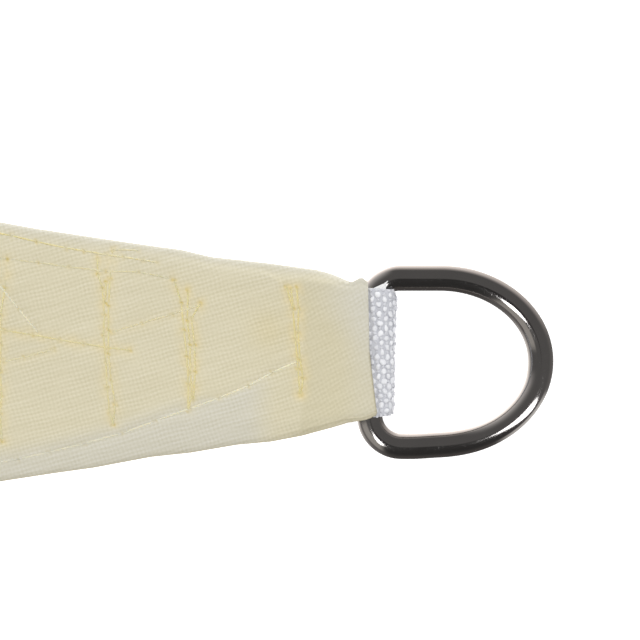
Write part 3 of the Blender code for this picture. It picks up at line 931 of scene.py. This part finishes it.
def webbing_path():
    """The middle of the webbing's thickness along its whole length, from one leg's end to the other's."""
    leg_x = [-WEB_LEG, *np.linspace(-WEB_LEG * 0.8, -20 * MM, 6)]
    leg_x += list(np.linspace(-16 * MM, BAR_X + WRAP_START, 60))
    lower = [(x, float(web_bottom(x)) + WEB / 2) for x in leg_x]
    wrap = [
        (BAR_X + WRAP_START + WRAP_X * math.cos(a), BAR_Z + WRAP_Z * math.sin(a))
        for a in np.linspace(-math.pi / 2, math.pi / 2, 41)[1:-1]
    ]
    upper = [(x, float(web_top(x)) - WEB / 2) for x in reversed(leg_x)]
    return np.array(lower + wrap + upper)


def evenly(path, step):
    """The same path with its points this far apart."""
    ways = np.concatenate([[0], np.cumsum(np.linalg.norm(np.diff(path, axis=0), axis=1))])
    even = np.linspace(0, ways[-1], round(ways[-1] / step) + 1)
    return np.stack([np.interp(even, ways, path[:, i]) for i in (0, 1)], axis=1)


def skin(name, verts, around, closed):
    """A mesh of sections with this many points round each, closed to a ring or with its two ends capped."""
    sections = len(verts) // around
    steps = ((0, 0), (0, 1), (1, 1), (1, 0))
    faces = [
        tuple((i + along) % sections * around + (j + side) % around for along, side in steps)
        for i in range(sections if closed else sections - 1)
        for j in range(around)
    ]
    if not closed:
        faces += [tuple(range(around))[::-1], tuple(range(len(verts) - around, len(verts)))]
    mesh = bpy.data.meshes.new(name)
    mesh.from_pydata(verts, [], faces)
    with edited(mesh) as bm:
        bmesh.ops.recalc_face_normals(bm, faces=bm.faces)
    return mesh


def webbing_core():
    """The woven band itself, a grid round its section, with the turns and sizes of its tufts."""
    path = evenly(webbing_path(), TUFT_STEP)
    way = np.gradient(path, axis=0)
    way /= np.linalg.norm(way, axis=1)[:, None]
    half_steps = round((WEB_SIDES[1] - WEB_SIDES[0]) / (TUFT_PITCH / 2))
    verts, sizes, turns = [], [], []
    for i, ((x, z), (way_x, way_z)) in enumerate(zip(path, way)):
        spread = sum(share * smooth((z - start) / run) for share, start, run in SPREAD_STEPS)
        low = WEB_SIDES[0] + NOSE_INSET * smooth((x - 3.8 * MM) / (1.3 * MM))
        high = WEB_SIDES[1] + TOP_SPREAD * spread
        across = np.linspace(low + SIDE_ROUND, high - SIDE_ROUND, half_steps + 1)
        section = [(y, CORE / 2) for y in across] + [(high, 0.0)]
        section += [(y, -CORE / 2) for y in across[::-1]] + [(low, 0.0)]
        for j, (y, out) in enumerate(section):
            lean = LEAN * y if 0 < j < half_steps else 0.0
            pull = PULLED_IN * smooth((x - 1.5 * MM) / (2 * MM)) * (high - y) / (high - low)
            verts.append((x + way_z * out + way_x * lean - pull, y, z - way_x * out + way_z * lean))
            share = SIDE_TUFT if j in (0, half_steps) else SMALL_TUFT if (i + j) % 2 else 1.0
            sizes.append(share if x > TUFTS_FROM and j <= half_steps else 0.0)
            turns.append((0, math.atan2(way_z, -way_x), 0))
    mesh = skin("webbing_core", verts, len(section), closed=False)
    mesh.attributes.new("tuft_share", "FLOAT", "POINT").data.foreach_set("value", sizes)
    mesh.attributes.new("lie", "FLOAT_VECTOR", "POINT").data.foreach_set("vector", np.array(turns).ravel())
    return mesh


def add_fibres(mesh):
    """A few loose ends of yarn, drawn out of the fold's upper edge to thin points."""
    root_y = WEB_SIDES[1] + TOP_SPREAD - 0.5 * MM
    thick, thin = FIBRE_RADII
    with edited(mesh) as bm:
        for x, tip_x, reach in FIBRES:
            foot = Vector((x * MM, root_y, FIBRE_HEIGHTS[0]))
            tip = Vector((tip_x * MM, root_y + (reach + 0.4) * MM, FIBRE_HEIGHTS[1]))
            way = (tip - foot).normalized()
            turn = way.to_track_quat("Z", "X").to_matrix().to_4x4()
            place = Matrix.Translation((foot + tip) / 2) @ turn
            shape = dict(cap_ends=True, segments=8, radius1=thick, radius2=thin, depth=(tip - foot).length)
            bmesh.ops.create_cone(bm, matrix=place, **shape)


def tuft_tree(material):
    """A rounded tuft of yarn on every marked point of the band, laid along it, uneven in size and tone, with
    painted shade on the smaller tufts.
    """
    tree = Growth("webbing_tufts", Tuft_size=1.0 * MM, Slant=0.75, Lumps=0.7 * MM, Roundness=2)
    given = tree.given

    def random_value(kind, low, high, seed):
        first = 0 if kind == "FLOAT_VECTOR" else 2
        inputs = {first: low, first + 1: high, "Seed": seed}
        return tree.node("FunctionNodeRandomValue", inputs, first // 2, data_type=kind)

    def attribute(name, kind):
        return tree.node("GeometryNodeInputNamedAttribute", {"Name": name}, "Attribute", data_type=kind)

    def rotation(euler):
        return tree.node("FunctionNodeEulerToRotation", {"Euler": euler})

    ball = {"Radius": given["Tuft size"], "Subdivisions": given["Roundness"]}
    share = attribute("tuft_share", "FLOAT")
    slant = random_value("FLOAT_VECTOR", (-0.3, -0.3, -1.2), (0.3, 0.3, 0.8), 5)
    low, high = (tuple(part * size for size in TUFT_SHARES) for part in TUFT_SPREAD)
    turns = {
        "Rotation": rotation(attribute("lie", "FLOAT_VECTOR")),
        "Rotate By": rotation(tree.vector("SCALE", slant, given["Slant"])),
    }
    stamp = {
        "Points": given["Geometry"],
        "Selection": tree.math("GREATER_THAN", share, 0.1),
        "Instance": tree.node("GeometryNodeMeshIcoSphere", ball),
        "Rotation": tree.node("FunctionNodeRotateRotation", turns, rotation_space="LOCAL"),
        "Scale": tree.vector("SCALE", random_value("FLOAT_VECTOR", low, high, 9), share),
    }
    # Painted shade: the smaller tufts, in the gaps and along the edges, get a darker tone, on top of a random
    # one.
    tone = tree.math("MULTIPLY", random_value("FLOAT", 0.50, 1.0, 21), tree.math("POWER", share, 2.0))
    stamped = tree.node("GeometryNodeInstanceOnPoints", stamp)
    toned = tree.node(
        "GeometryNodeStoreNamedAttribute",
        {"Geometry": stamped, "Name": "tuft_tone", "Value": tone},
        data_type="FLOAT",
        domain="INSTANCE",
    )
    both = tree.node("GeometryNodeJoinGeometry", {"Geometry": [toned, given["Geometry"]]})
    smoothed = tree.node("GeometryNodeSetShadeSmooth", {"Geometry": both})
    real = tree.node("GeometryNodeRealizeInstances", {"Geometry": smoothed})
    lumps = tree.node("TexNoise", {"Scale": 1300.0}, "Color")
    offset = tree.vector("SCALE", tree.vector("SUBTRACT", lumps, HALF), given["Lumps"])
    tree.end_in(tree.node("GeometryNodeSetPosition", {"Geometry": real, "Offset": offset}), material)
    return tree


def webbing_material():
    look = Shading("white_webbing")
    place = look.node("TexCoord", output="Object")
    tone = look.noise(place, 700.0, 2.0)
    strands = look.noise(look.drawn_out(place, (0.25, 1.0, 1.0)), 7000.0, 2.0)
    # Painted shade: the bare band and the small tufts take the grey end of these tones.
    color = look.mix(look.attribute("tuft_tone"), *YARN_SHADE_TO_WHITE)
    color = look.mix(look.math("MULTIPLY", tone, 0.25), color, YARN_CLOUD)
    return look.finish(
        base_color=look.mix(look.span(strands, 0.35, 0.65, 0.0, 0.22), color, YARN_STRAND),
        roughness=look.span(strands, 0.3, 0.7, 0.45, 0.7),
        normal=look.bump(strands, 0.5, 0.07 * MM),
        sheen_weight=0.25,
        specular_ior_level=0.45,
    )


tufts = tuft_tree(webbing_material())
for corner in range(CORNERS):
    node = f"webbing_loop_{corner + 1}"
    webbing = tufts.grow(f"webbing_{corner + 1}", webbing_core())
    add_fibres(webbing.data)
    webbing.data.transform(tip_matrix(corner))
    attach(webbing, "root")
    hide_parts(node)


# ---- The D-rings -----------------------------------------------------------------------------
# A ring of 5 mm stainless wire at each corner, bent to a D and polished dark. Its straight bar runs
# through the webbing, and its bow rests on the floor.

RING_HALF = 16.25 * MM
RING_CORNER = 5.8 * MM
RING_BOW = 13.7 * MM  # from the bar, where the bow starts
RING_Y = -2.05 * MM
RING_TILT = math.asin((BAR_Z - WIRE_R - 0.05 * MM) / RING_REACH)
WIRE_SIDES = 32
UNEVEN_BEND = 0.42 * MM  # a hand-made ring's low leg bulges near its corner, and its bow is a little long
UNEVEN_REACH = 0.004
STEEL_TONES = (0.225, 0.218, 0.214, 1), (0.262, 0.252, 0.246, 1)


def ring_outline():
    """The middle of the wire, in small steps round the bar, the two corners and the bow."""
    corner = [
        (RING_CORNER * (1 - math.cos(a)), RING_CORNER * math.sin(a) + RING_HALF - RING_CORNER)
        for a in np.linspace(0, math.pi / 2, 17)
    ]
    straight = [(x, RING_HALF) for x in np.linspace(RING_CORNER, RING_BOW, 8)[1:-1]]
    bow = [
        (RING_BOW + (RING_REACH - RING_BOW) * math.sin(a), RING_HALF * math.cos(a))
        for a in np.linspace(0, math.pi, 73)
    ]
    bar = [(0.0, y) for y in np.linspace(-RING_HALF + RING_CORNER, RING_HALF - RING_CORNER, 10)[1:-1]]
    mirrored = [(x, -y) for x, y in reversed(corner + straight)]
    outline = np.array(corner + straight + bow + mirrored + bar)
    low_leg = smooth((-outline[:, 1] - 9 * MM) / (4 * MM)) * bell(outline[:, 0] - 7.5 * MM, 5.5 * MM)
    outline[:, 1] -= UNEVEN_BEND * low_leg
    outline[:, 0] *= 1 + UNEVEN_REACH
    return outline


def ring_mesh(name):
    outline = ring_outline()
    way = np.roll(outline, -1, axis=0) - np.roll(outline, 1, axis=0)
    way /= np.linalg.norm(way, axis=1)[:, None]
    verts = []
    for (x, y), (way_x, way_y) in zip(outline, way):
        for side in range(WIRE_SIDES):
            turn = math.tau * side / WIRE_SIDES
            out = WIRE_R * math.cos(turn)
            verts.append((x - way_y * out, y + way_x * out, WIRE_R * math.sin(turn)))
    mesh = skin(name, verts, WIRE_SIDES, closed=True)
    mesh.shade_smooth()
    return mesh


def steel_material():
    look = Shading("dark_polished_steel")
    place = look.node("TexCoord", output="Object")
    cloud = look.noise(place, 90.0, 3.0)
    fine = look.noise(place, 2400.0, 3.0)
    marks = look.noise(look.drawn_out(place, (1.0, 0.15, 1.0)), 3500.0, 2.0)
    polish, scratches = look.span(cloud, 0.3, 0.7, 0.08, 0.13), look.span(marks, 0.62, 0.75, 0.0, 0.12)
    return look.finish(
        base_color=look.mix(cloud, *STEEL_TONES),
        roughness=look.math("ADD", polish, scratches),
        normal=look.bump(fine, 0.06, 0.02 * MM),
        metallic=1.0,
    )


dark_steel = steel_material()
for corner in range(CORNERS):
    node = f"d_ring_{corner + 1}"
    mesh = ring_mesh(f"steel_ring_{corner + 1}")
    hang = Matrix.Translation((BAR_X, RING_Y, BAR_Z)) @ Matrix.Rotation(RING_TILT, 4, "Y")
    mesh.transform(tip_matrix(corner) @ hang)
    mesh.materials.append(dark_steel)
    ring = add_object(mesh.name, mesh)
    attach(ring, "root")
    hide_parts(node)


# ---- The floor, the light and the camera -----------------------------------------------------
# A plain white floor, soft light from above with more of it from the far side, and a camera that
# looks straight down at the first corner.

FLOOR_SIDE = 80.0
FLOOR_Z = -0.2 * MM
FLOOR_TONE = (0.94, 0.94, 0.94, 1)
WHITE = (1.0, 1.0, 1.0, 1)
VIEW_WIDTH = 124.8 * MM  # what the picture takes in, at the cloth's height
VIEW_HEIGHT = 0.50
VIEW_CENTRE = (-9.6 * MM, 6.0 * MM)  # in the first corner's frame
CLOTH_LEVEL = 5 * MM
SENSOR = 36.0
LAMP_DISTANCE = 1.2

floor_mesh = bpy.data.meshes.new("floor")
reach = FLOOR_SIDE / 2
corners = [(x * reach, y * reach, FLOOR_Z) for x, y in ((-1, -1), (1, -1), (1, 1), (-1, 1))]
floor_mesh.from_pydata(corners, [], [(0, 1, 2, 3)])
floor = add_object("floor", floor_mesh)
floor_look = dict(base_color=FLOOR_TONE, roughness=0.9, emission_color=WHITE, emission_strength=0.75)
floor_mesh.materials.append(Shading("white_floor").finish(**floor_look))
floor.visible_glossy = False

world = bpy.data.worlds.new("studio")
bpy.context.scene.world = world
world.use_nodes = True
world.node_tree.nodes.clear()
sky = Tree(world.node_tree)
leaving = sky.node("TexCoord", output="Generated")  # the direction that a ray leaves in
level = sky.node("VectorMath", {0: sky.vector("MULTIPLY", leaving, (1, 1, 0))}, operation="NORMALIZE")
upward = sky.node("SeparateXYZ", {0: leaving}, "Z")


def facing(azimuth):
    """The cosine between a ray's level direction and this azimuth in degrees."""
    a = math.radians(azimuth)
    return sky.vector("DOT_PRODUCT", level, (math.cos(a), math.sin(a), 0), "Value")


def slope(value, low, high, to_low=0.0, to_high=1.0):
    return sky.span(value, low, high, to_low, to_high, "SMOOTHSTEP")


def times(*values):
    whole = values[0]
    for value in values[1:]:
        whole = sky.math("MULTIPLY", whole, value)
    return whole


# The room that the steel mirrors: a grey ceiling with a dark part, walls that are bright on one side
# and brightest in one part of it, pale ground, a screen beside the left lamp, and the right lamp's own
# light on the table.
ceiling = slope(facing(-78), 0.70, 0.95, 0.275, 0.085)
walls = times(sky.span(facing(100), 0.10, 1.0, 0.10, 1.90), slope(upward, 0.35, -0.45))
bright_part = times(slope(facing(134), 0.76, 0.98), slope(upward, 1.0, 0.10))
ground = times(slope(facing(150), 0.0, 0.9), slope(upward, -0.10, -0.75), 1.60)
screen = times(slope(facing(-140), 0.86, 0.95), slope(upward, 0.86, 0.70), slope(upward, -0.15, 0.15), 0.70)
table = times(slope(facing(-40), 0.93, 0.99), slope(upward, -0.10, -0.25), 1.10)
tints = (
    (ceiling, (1.0, 0.97, 0.95)),
    (walls, (1.0, 0.90, 0.84)),
    (bright_part, (1.0, 0.96, 0.93)),
    (ground, (1.0, 0.94, 0.88)),
    (screen, (1.0, 0.95, 0.86)),
    (table, (1.0, 0.97, 0.93)),
)
room = (0.0, 0.0, 0.0)
for amount, tint in tints:
    room = sky.vector("ADD", room, sky.vector("SCALE", tint, amount))

# The steel mirrors the room, the cloth and the floor get even white light, and past the floor is white.
mirrored = sky.node("Background", {"Color": room})
even_light = sky.node("Background", {"Color": WHITE, "Strength": 0.925})
beyond = sky.node("Background", {"Color": WHITE, "Strength": 0.98})
by_gloss, by_view = (sky.node("LightPath", output=f"Is {kind} Ray") for kind in ("Glossy", "Camera"))
light = sky.node("MixShader", {"Fac": by_gloss, 1: even_light, 2: mirrored})
light = sky.node("MixShader", {"Fac": by_view, 1: light, 2: beyond})
sky.node("OutputWorld", {"Surface": light})


def add_lamp(name, kind, azimuth, zenith, distance=0.0, roll=0.0, **settings):
    """A lamp that shines from this azimuth, and this far from straight above, in degrees."""
    lamp = bpy.data.lights.new(name, kind)
    for key, value in settings.items():
        setattr(lamp, key, value)
    a, z = math.radians(azimuth), math.radians(zenith)
    away = Vector((math.cos(a) * math.sin(z), math.sin(a) * math.sin(z), math.cos(z)))
    turn = away.to_track_quat("Z", "Y").to_matrix() @ Matrix.Rotation(math.radians(roll), 3, "Z")
    made = add_object(name, lamp)
    made.rotation_euler = turn.to_euler()
    made.location = tip_matrix(0).to_translation() + away * distance
    return made


key = add_lamp("key_light", "SUN", 100, 48, energy=0.75, angle=math.radians(30))
key.visible_glossy = False
right_size = dict(shape="ELLIPSE", size=0.34, size_y=1.18, energy=8.0)
left_size = dict(shape="ELLIPSE", size=0.22, size_y=0.56, energy=3.6)
right = add_lamp("right_softbox", "AREA", -36, 51, LAMP_DISTANCE, roll=7, **right_size)
left = add_lamp("left_softbox", "AREA", 241, 31, LAMP_DISTANCE, **left_size)
for softbox in (right, left):
    softbox.visible_camera = False
    softbox.visible_diffuse = False

camera = add_object("camera", bpy.data.cameras.new("camera"))
centre = tip_matrix(0) @ Vector((*VIEW_CENTRE, 0))
camera.location = (centre.x, centre.y, VIEW_HEIGHT)
camera.data.sensor_width = SENSOR
camera.data.lens = SENSOR * (VIEW_HEIGHT - CLOTH_LEVEL) / VIEW_WIDTH
camera.data.clip_start = 0.01
bpy.context.scene.camera = camera
bpy.context.scene.view_settings.view_transform = "Standard"
